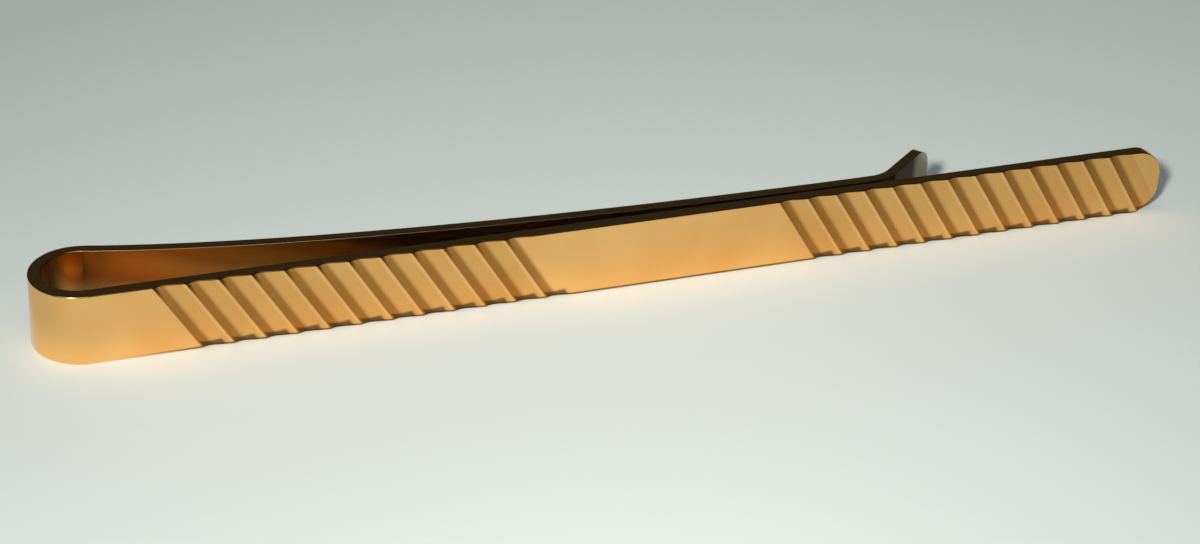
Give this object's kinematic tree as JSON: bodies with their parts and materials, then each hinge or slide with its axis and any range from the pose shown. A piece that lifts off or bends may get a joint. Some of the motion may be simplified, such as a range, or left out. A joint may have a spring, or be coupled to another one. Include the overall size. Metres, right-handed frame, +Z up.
{
  "type": "tie slide",
  "caption": "Hairpin tie slide of gold plated strip: fluted front bar with a plain centre panel, round spring loop and thin sprung back arm with a lead-in lip.",
  "frame": {"origin": "under the middle of the clip's bounding box, on the surface that it stands on", "axes": "+X along the bar from the loop to the tip, -Y out of the front face, +Z up across the strip's width"},
  "size_m": [0.0596, 0.0048, 0.0037],
  "materials": {
    "gold_plate_bar": "polished gold plate with diamond cut flutes",
    "gold_plate_loop": "polished gold plate",
    "gold_plate_arm": "polished gold plate, lightly rubbed"
  },
  "bodies": {
    "bar": {"front_bar": "gold_plate_bar", "loop_front_half": "gold_plate_loop"},
    "arm": {"loop_back_half": "gold_plate_loop", "back_arm": "gold_plate_arm"}
  },
  "joints": [
    {"name": "arm_opening", "type": "hinge", "parent": "bar", "child": "arm", "pos_m": [-0.02983, 0, 0.00185], "axis": [0, 0, 1], "range_deg": [0, 7], "stiffness_Nm_per_rad": 0.5}
  ]
}
